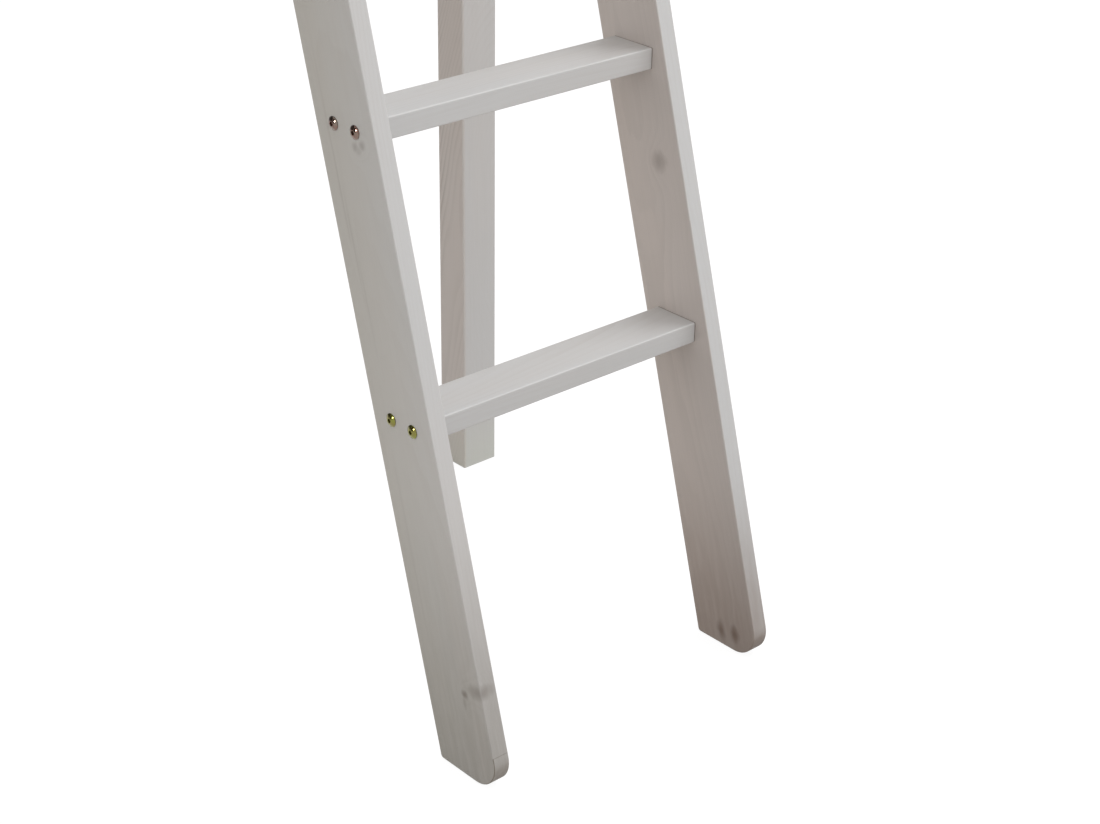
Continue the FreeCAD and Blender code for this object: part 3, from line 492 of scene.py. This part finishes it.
def chance_knots(pick, half):
    """A few knots strewn over a board, each a branch that runs through its thickness."""
    count = max(1, round(half.x * 2 * pick.uniform(*KNOTS_TO_METRE)))
    for _ in range(count):
        place = (pick.uniform(-half.x, half.x), pick.uniform(-half.y, half.y) * KNOT_SPREAD, 0)
        stretch = (pick.uniform(*KNOT_ALONG), 1, pick.uniform(*KNOT_THROUGH))
        yield place, stretch, pick.uniform(*KNOT_SIZES), pick.uniform(*KNOT_DEPTHS)


def seen_knots(name, middle, axes):
    for point, *shape in SEEN_KNOTS[name]:
        yield in_board(Vector(point) - middle, axes), *shape


def knot_totals(tree, board, knots):
    """The marks of all the knots of a board together."""
    totals = {"Mask": 0.0, "Core": 0.0, "Push": 0.0}
    for knot in knots:
        node = tree.add("ShaderNodeGroup", node_tree=KNOT)
        for socket, value in zip(node.inputs, (board, *knot)):
            tree.put(socket, value)
        for label in totals:
            operation = "ADD" if label == "Push" else "MAXIMUM"
            totals[label] = tree.math(operation, node.outputs[label], totals[label])
    return totals


def toe_lines(tree, point, name):
    """Dark lines on a stile's rounded toe: along its left arris, and across its edge where it begins."""
    low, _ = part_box(name)
    offset = tree.vector("SUBTRACT", point, (low.x, low.y + TOE_RADIUS, low.z + TOE_RADIUS))
    inward, back, _ = tree.split(offset)
    reach = tree.vector("LENGTH", tree.vector("MULTIPLY", offset, (0, 1, 1)))
    off_arc = tree.math("ABSOLUTE", tree.math("SUBTRACT", reach, TOE_RADIUS))
    line = tree.fit(tree.math("MAXIMUM", off_arc, inward), TOE_LINE, TOE_LINE / 4)
    raised = tree.math("SUBTRACT", tree.vector("DOT_PRODUCT", offset, STILE_AXIS), TOE_START)
    line = tree.math("MULTIPLY", line, tree.fit(raised, *TOE_TOP_FADE))
    line = tree.math("MULTIPLY", line, tree.fit(back, *TOE_FLOOR_FADE, 0, TOE_LINE_STRENGTH))
    start = tree.math("MAXIMUM", off_arc, tree.math("ABSOLUTE", raised))
    start = tree.fit(start, TOE_LINE / 2, TOE_LINE / 8, 0, TOE_START_STRENGTH)
    return tree.math("MAXIMUM", line, start)


def foot_shade_and_tone(tree, point, name):
    """The painted shade or the tone on a board's foot: its colour and how much of it is here."""
    high, strength, colour = FOOT_SHADE_AND_TONE[name]
    foot_blend = tree.fit(tree.split(point)[2], high, 0, 0, strength)
    if name == DARK_LINED_TOE:
        foot_blend = tree.math("MAXIMUM", foot_blend, toe_lines(tree, point, name))
    return {"Foot Colour": colour, "Foot Blend": foot_blend}


def board_material(name, finish):
    """The finish's pine, cut from its own place in a log for this board."""
    pick = random.Random(name)
    middle, axes, half = board_frame(name)
    material, tree, shader = new_material(f"{name}_pine")
    point = tree.add("ShaderNodeTexCoord").outputs["Object"]
    offset = tree.vector("SUBTRACT", point, middle)
    board = tree.join(*[tree.vector("DOT_PRODUCT", offset, axis) for axis in axes])
    facing = tree.vector("DOT_PRODUCT", tree.add("ShaderNodeNewGeometry").outputs["Normal"], axes[0])
    given = {
        "Board": board,
        "Pith": (
            0,
            pick.uniform(-PITH_ASIDE, PITH_ASIDE) * half.y,
            pick.choice((-1, 1)) * pick.uniform(*PITH_AWAY),
        ),
        "Slope": (0, pick.uniform(-PITH_SLOPE, PITH_SLOPE), pick.uniform(-PITH_SLOPE, PITH_SLOPE)),
        "Half": half,
        "Seed": pick.uniform(*SEEDS),
        "End": tree.fit(tree.math("ABSOLUTE", facing), *END_BAND),
        "Rings": HEART_RINGS,
        "Seam": float("rung" in name or name.endswith(BUTTING_BOARDS)),
    }
    # Painted shade: the left side of these boards takes a tint that stands in for its shade
    if name in SHADED_SIDE_TINT:
        given |= {"Heart And Shade": in_board(-X, axes), "Shade Tint": SHADED_SIDE_TINT[name]}
    given |= SEEN_GRAIN.get(name, {})
    # Painted shade on the stiles' feet, a greener tone on the post's foot
    if name in FOOT_SHADE_AND_TONE:
        given |= foot_shade_and_tone(tree, point, name)
    knots = seen_knots(name, middle, axes) if name in SEEN_KNOTS else chance_knots(pick, half)
    given |= knot_totals(tree, board, knots)
    pine = tree.add("ShaderNodeGroup", node_tree=finish)
    for label, value in given.items():
        tree.put(pine.inputs[label], value)
    tree.put(shader.inputs["Base Color"], pine.outputs["Colour"])
    tree.put(shader.inputs["Roughness"], pine.outputs["Rough"])
    tree.bump(shader, pine.outputs["Height"], *WOOD_BUMP)
    return material


# Metal

# Its drift in colour: the grain, and the noise where the other colour begins and is full
DRIFT_GRAIN = (140, 140, 140)
DRIFT_BAND = (0.35, 0.65)
# Its scuffs: the grain, how far the roughness varies with them, and the strength and depth of their relief
SCUFF_GRAIN = (1100, 1100, 1100)
SCUFF_ROUGH = 0.12
METAL_BUMP = (0.05, 0.0002)
# Roughness of its clear film
FILM_ROUGH = 0.1


def metal_material(name, colour, other, roughness, film):
    """Plated steel: a colour that drifts to another, with fine scuffs under a clear film."""
    material, tree, shader = new_material(name)
    point = tree.add("ShaderNodeTexCoord").outputs["Object"]
    drift = tree.noise(point, DRIFT_GRAIN)["Fac"]
    scuff = tree.noise(point, SCUFF_GRAIN, detail=3, roughness=0.6)["Fac"]
    rough = tree.math("MULTIPLY_ADD", scuff, SCUFF_ROUGH, roughness - SCUFF_ROUGH / 2)
    tree.put(shader.inputs["Base Color"], tree.mix(tree.fit(drift, *DRIFT_BAND), colour, other))
    tree.put(shader.inputs["Roughness"], rough)
    shader.inputs["Metallic"].default_value = 1
    shader.inputs["Coat Weight"].default_value = film
    shader.inputs["Coat Roughness"].default_value = FILM_ROUGH
    tree.bump(shader, scuff, *METAL_BUMP)
    return material


YELLOW_ZINC = metal_material(
    "yellow_zinc", srgb(125, 127, 50), srgb(120, 112, 51), roughness=0.13, film=0.6
)
BRONZE_ZINC = metal_material(
    "bronze_zinc", srgb(121, 107, 97), srgb(119, 90, 79), roughness=0.13, film=0.6
)
STEEL = metal_material(
    "hook_steel", srgb(176, 178, 179), srgb(158, 162, 166), roughness=0.34, film=0
)

BARE_BOARDS = ("slat_", "left_slat", "right_slat", "joint_dowels")
METALS = ("bolts", "nuts", "screws")


def finish_of(name):
    if name.endswith(METALS):
        return YELLOW_ZINC
    if name.endswith("hook"):
        return STEEL
    return board_material(name, BARE if name.startswith(BARE_BOARDS) else GLAZED)


for node_name, node in NODES.items():
    node.data.materials.clear()
    node.data.materials.append(finish_of(node_name))


# Fasteners with their drives, each in the place of its plain solid. Millimetres until they are placed.

MM = 0.001
# Points round each ring, steps up a dome, and the angle from which an edge is sharp
ROUND = 48
DOME_STEPS = 8
SHARP = math.radians(32)
# Radii of heads and shanks, the width of hexagon sockets across their flats, and the height of an eased rim
BOLT_HEAD, SCREW_HEAD = 6.75, 4
BOLT_SHANK, SLEEVE_SHANK, SCREW_SHANK = 3, 4, 2
SOCKET = 4
RIM = 0.15
# A screw's taper and the radius of its tip, and its recess: the reach and half width of the arms from the
# mouth down
SCREW_TAPER = 5
SCREW_TIP = 0.3
RECESS = ((2.3, 0.55), (2.1, 0.5), (1.1, 0.45))
# A shank's end in shares of its radius
SHANK_END = 0.35
# Points of a solid that agree to so many decimals are one, and so are the heights of heads in one row
SAME_POINT, SAME_ROW = 5, 2
# Points at this share of a head's radius or further out are on its rim
ON_RIM = 0.97
# The sleeve nuts are about as wide as long, so their run along Y is given
RUN_Y = 1


def steps(count):
    """The angles of a full turn in equal steps."""
    return [2 * math.pi * index / count for index in range(count)]


def circle(radius):
    return [(radius * math.cos(turn), radius * math.sin(turn)) for turn in steps(ROUND)]


def polygon(corners):
    """The round's points spread evenly over a closed outline of corners."""
    each = ROUND // len(corners)
    spots = []
    for index, start in enumerate(corners):
        end = corners[(index + 1) % len(corners)]
        for step in range(each):
            share = step / each
            spots.append((start[0] + (end[0] - start[0]) * share, start[1] + (end[1] - start[1]) * share))
    return spots


def hexagon(flats):
    reach = flats / math.sqrt(3)
    return polygon([(reach * math.cos(turn), reach * math.sin(turn)) for turn in steps(6)])


def cross(reach, wide):
    """A four-armed driver recess, arms of a given reach and half width."""
    corners = []
    for turn in steps(4):
        for along, aside in ((wide, -wide), (reach, -wide), (reach, wide)):
            corners.append((
                along * math.cos(turn) - aside * math.sin(turn),
                along * math.sin(turn) + aside * math.cos(turn),
            ))
    return polygon(corners)


# Each of these gives rings from the tip up and over the head: an outline and its height over the seat


def dome(radius, rim, height, mouth):
    """Rings over a domed head, from its rim to the mouth of its socket."""
    rise = height - rim
    sphere = (radius ** 2 + rise ** 2) / (2 * rise)
    edge, top = math.asin(radius / sphere), math.asin(mouth / sphere)
    for step in range(DOME_STEPS + 1):
        lean = edge + (top - edge) * step / DOME_STEPS
        yield circle(sphere * math.sin(lean)), height - sphere * (1 - math.cos(lean))


def shank(radius, length, taper):
    yield circle(radius * SHANK_END), -length
    yield circle(radius), taper - length
    yield circle(radius), 0


def screw_shank(length, neck):
    yield circle(SCREW_TIP), -length
    yield circle(SCREW_SHANK), SCREW_TAPER - length
    yield circle(SCREW_SHANK), neck


def hexagon_socket(mouth, *heights):
    for flats, height in zip((mouth, SOCKET, SOCKET, SOCKET / 2), heights):
        yield hexagon(flats), height


def cross_recess(*heights):
    for arms, height in zip(RECESS, heights):
        yield cross(*arms), height


def bolt_rings(length):
    """A domed furniture bolt with a hexagon socket."""
    yield from shank(BOLT_SHANK, length, taper=0.8)
    yield circle(6.5), 0
    yield circle(BOLT_HEAD), RIM
    yield from dome(BOLT_HEAD, rim=0.7, height=3.2, mouth=2.75)
    yield from hexagon_socket(4.25, 2.8, 2.65, 1, 0.85)


def sleeve_rings(length):
    """A flat-headed sleeve nut with a hexagon socket."""
    yield from shank(SLEEVE_SHANK, length, taper=0.6)
    yield circle(6.6), 0
    yield circle(BOLT_HEAD), RIM
    yield circle(BOLT_HEAD), 1.1
    yield circle(6.3), 1.5
    yield from hexagon_socket(4.3, 1.5, 1.4, -2, -2.2)


def flush_screw_rings(length):
    """A countersunk wood screw with a cross recess, its face at zero."""
    yield from screw_shank(length, neck=-2)
    yield circle(3.9), -0.15
    yield circle(3.95), -0.05
    yield circle(3.8), 0
    yield from cross_recess(0, -0.9, -1.9)


def domed_screw_rings(length):
    """A round-headed wood screw with a cross recess."""
    yield from screw_shank(length, neck=0)
    yield circle(3.9), 0
    yield circle(SCREW_HEAD), 0.12
    yield from dome(SCREW_HEAD, rim=0.6, height=2.4, mouth=2.75)
    yield from cross_recess(1.55, 0.9, 0.2)


def single_solids(name):
    """The points of each separate solid of a node."""
    mesh = NODES[name].data
    spots = {}
    merged = []
    for vertex in mesh.vertices:
        spot = tuple(round(number, SAME_POINT) for number in vertex.co)
        merged.append(spots.setdefault(spot, len(spots)))
    parent = list(range(len(spots)))

    def root(index):
        while parent[index] != index:
            parent[index] = parent[parent[index]]
            index = parent[index]
        return index

    for face in mesh.polygons:
        first, *others = (merged[index] for index in face.vertices)
        for other in others:
            parent[root(other)] = root(first)
    solids = {}
    for index, vertex in enumerate(mesh.vertices):
        solids.setdefault(root(merged[index]), []).append(vertex.co)
    return list(solids.values())


def off_line(offset, unit):
    """How far an offset leads away from a line along unit."""
    return (offset - offset.dot(unit) * unit).length


def fastener_places(name, head_radius, axis=None):
    """For each turned solid of a node: the seat of its head, the way the head points, the length below."""
    rim_radius = head_radius * ON_RIM * MM
    for points in single_solids(name):
        low, high = (
            Vector([pick(point[side] for point in points) for side in range(3)]) for pick in (min, max)
        )
        size = high - low
        run = axis if axis is not None else max(range(3), key=lambda side: size[side])
        unit = (X, Y, Z)[run]
        middle = (low + high) / 2
        rims = [point.dot(unit) for point in points if off_line(point - middle, unit) > rim_radius]
        up = sum(rims) / len(rims) > middle[run]
        seat = min(rims) if up else max(rims)
        middle[run] = seat
        yield middle, unit if up else -unit, seat - low[run] if up else high[run] - seat


def add_rings(form, rings, place, way, tone):
    """Joins rings of points into one closed turned form, moved to its place."""
    turn = way.to_track_quat("Z", "Y").to_matrix()
    loops = [
        [form.verts.new(place + turn @ Vector((x, y, height)) * MM) for x, y in ring]
        for ring, height in rings
    ]
    faces = [form.faces.new(reversed(loops[0])), form.faces.new(loops[-1])]
    for below, above in zip(loops, loops[1:]):
        for index in range(ROUND):
            after = (index + 1) % ROUND
            faces.append(form.faces.new((below[index], below[after], above[after], above[index])))
    for face in faces:
        face.material_index = tone
        face.smooth = True


def replace_fasteners(name, body, rings, head_radius, tones, axis=None):
    """One piece with the finely made fasteners of a node, which it stands for. Rows take turns in tone."""
    form = bmesh.new()
    places = list(fastener_places(name, head_radius, axis))
    rows = sorted({round(seat.z, SAME_ROW) for seat, _, _ in places})
    for seat, way, length in places:
        tone = rows.index(round(seat.z, SAME_ROW)) % len(tones)
        add_rings(form, rings(length / MM), seat, way, tone)
    mesh = bpy.data.meshes.new(f"{name}_fine")
    form.to_mesh(mesh)
    form.free()
    mesh.set_sharp_from_angle(angle=SHARP)
    for tone in tones:
        mesh.materials.append(tone)
    piece = add_object(f"{name}_fine", mesh)
    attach(piece, body)
    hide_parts(name)


BOLT_TONES = (YELLOW_ZINC, BRONZE_ZINC)
SCREW_TONES = (YELLOW_ZINC,)
replace_fasteners("rung_bolts", "ladder", bolt_rings, BOLT_HEAD, BOLT_TONES)
replace_fasteners("frame_bolts", "bed_frame", bolt_rings, BOLT_HEAD, BOLT_TONES)
replace_fasteners("guard_bolts", "bed_frame", bolt_rings, BOLT_HEAD, BOLT_TONES)
replace_fasteners("upright_bolts", "bed_frame", bolt_rings, BOLT_HEAD, BOLT_TONES)
replace_fasteners("upright_sleeve_nuts", "bed_frame", sleeve_rings, BOLT_HEAD, BOLT_TONES, axis=RUN_Y)
replace_fasteners("slat_screws", "bed_frame", flush_screw_rings, SCREW_HEAD, SCREW_TONES)
replace_fasteners("ledger_screws", "bed_frame", flush_screw_rings, SCREW_HEAD, SCREW_TONES)
replace_fasteners("hook_screws", "ladder", domed_screw_rings, SCREW_HEAD, SCREW_TONES)


# Floor, light and camera

# The floor: its size, how far it lies below the feet, its glow and its tone to the eye, and to bounced light
FLOOR_SIZE = 30
FLOOR_DROP = 0.0008
FLOOR_GLOW = 0.92
FLOOR_TONE = (0.16, 0.16, 0.16, 1)
BOUNCE_TONE = (0.53, 0.5, 0.47, 1)
# Bounced light meets a dark mat round the ladder's feet: its middle, how far from there it begins to fade and
# ends, and its tone
MAT_PLACE = (0.48, -1.5, 0)
MAT_REACH = (0.2, 0.7)
MAT_TONE = (0.12, 0.09, 0.07, 1)
# The dark card's line on the floor, its height and its tone
FLAG_LINE = [(0.5, 2.5), (-4.5, 2.5), (-4.5, -0.7)]
FLAG_HEIGHT = 3.6
FLAG_TONE = (0.09, 0.09, 0.09, 1)
# Light of the sky on the object, which the eye and reflections see as plain white
SKY_LIGHT = 0.66
# Colour of the window's light
WINDOW_TONE = (1, 0.98, 0.93)


def eye_ray(tree):
    """1 for rays from the camera and for reflected or refracted ones."""
    path = tree.add("ShaderNodeLightPath").outputs
    seen = tree.math("MAXIMUM", path["Is Camera Ray"], path["Is Glossy Ray"])
    return tree.math("MAXIMUM", seen, path["Is Transmission Ray"])


def floor_material():
    """White to the eye and to reflections, with the soft shadow, and dull to bounced light."""
    material, tree, surface = empty_material("floor")
    glow = tree.add("ShaderNodeEmission")
    glow.inputs["Strength"].default_value = FLOOR_GLOW
    lit = tree.add("ShaderNodeBsdfDiffuse")
    lit.inputs["Color"].default_value = FLOOR_TONE
    seen = tree.add("ShaderNodeAddShader")
    tree.put(seen.inputs[0], glow.outputs[0])
    tree.put(seen.inputs[1], lit.outputs[0])
    dull = tree.add("ShaderNodeBsdfDiffuse")
    offset = tree.vector("SUBTRACT", tree.add("ShaderNodeNewGeometry").outputs["Position"], MAT_PLACE)
    far = tree.fit(tree.vector("LENGTH", offset), *MAT_REACH)
    tree.put(dull.inputs["Color"], tree.mix(far, MAT_TONE, BOUNCE_TONE))
    pick = tree.add("ShaderNodeMixShader")
    tree.put(pick.inputs[0], eye_ray(tree))
    tree.put(pick.inputs[1], dull.outputs[0])
    tree.put(pick.inputs[2], seen.outputs[0])
    tree.put(surface, pick.outputs[0])
    return material


def stage_floor():
    """A pale floor just below the feet."""
    mesh = bpy.data.meshes.new("floor")
    form = bmesh.new()
    bmesh.ops.create_grid(form, x_segments=1, y_segments=1, size=FLOOR_SIZE)
    form.to_mesh(mesh)
    form.free()
    mesh.materials.append(floor_material())
    floor = add_object("floor", mesh)
    floor.location.z = -FLOOR_DROP
    floor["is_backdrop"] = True


def stage_flag():
    """A dark folded card behind the bed at the left, which shows only in the metal."""
    mesh = bpy.data.meshes.new("flag")
    corners = [(x, y, height) for height in (0, FLAG_HEIGHT) for x, y in FLAG_LINE]
    mesh.from_pydata(corners, [], [(0, 1, 4, 3), (1, 2, 5, 4)])
    material, _, shader = new_material("flag")
    shader.inputs["Base Color"].default_value = FLAG_TONE
    mesh.materials.append(material)
    flag = add_object("flag", mesh)
    flag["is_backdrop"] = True
    flag.visible_camera = False
    flag.visible_diffuse = False
    flag.visible_shadow = False


def stage_world():
    world = bpy.data.worlds.new("studio")
    world.use_nodes = True
    world.node_tree.nodes.clear()
    tree = Tree(world.node_tree)
    sky = tree.add("ShaderNodeBackground")
    sky.inputs["Color"].default_value = (1, 1, 1, 1)
    level = tree.math("MULTIPLY_ADD", eye_ray(tree), 1 - SKY_LIGHT, SKY_LIGHT)
    tree.put(sky.inputs["Strength"], level)
    output = tree.add("ShaderNodeOutputWorld")
    tree.put(output.inputs["Surface"], sky.outputs[0])
    bpy.context.scene.world = world


def lamp(name, place, target, size, power, colour=(1, 1, 1)):
    data = bpy.data.lights.new(name, "AREA")
    data.shape = "DISK"
    data.size = size
    data.energy = power
    data.color = colour
    item = add_object(name, data)
    item.location = place
    item.rotation_mode = "QUATERNION"
    item.rotation_quaternion = (Vector(target) - Vector(place)).to_track_quat("-Z", "Y")
    return item


def stage_camera():
    data = bpy.data.cameras.new("camera")
    data.lens = CAMERA_LENS
    data.sensor_width = CAMERA_SENSOR
    data.clip_end = CAMERA_REACH
    camera = add_object("camera", data)
    tilt = Matrix.Rotation(math.radians(90 - CAMERA_DOWN), 4, "X")
    turn = Matrix.Rotation(math.radians(-CAMERA_TURN), 4, "Z")
    roll = Matrix.Rotation(math.radians(CAMERA_ROLL), 4, "Z")
    camera.matrix_world = Matrix.Translation(CAMERA_PLACE) @ turn @ tilt @ roll
    bpy.context.scene.camera = camera


stage_floor()
stage_flag()
stage_world()
lamp("key", place=(3.1, -2.2, 4.7), target=(0.2, -0.6, 0.7), size=3.2, power=97)
lamp("fill", place=(0.8, -5.4, 2.4), target=(0.2, -0.9, 0.5), size=2, power=39)
# A window lights the wood from the left, and a smaller bright pane shows in the metal instead of it
window = lamp(
    "window", place=(-3.5, -0.4, 1.4), target=(0.2, -1.0, 0.5), size=1.4, power=14, colour=WINDOW_TONE
)
window.visible_glossy = False
pane = lamp("pane", place=(-3.5, -0.9, 1.5), target=(0.2, -1.0, 0.5), size=0.8, power=45)
pane.visible_diffuse = False
stage_camera()
bpy.context.scene.view_settings.view_transform = "Standard"

boxes = {"cad": CAD_BOX, "visual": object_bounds()}
{label: [list(corner) for corner in box] for label, box in boxes.items()}
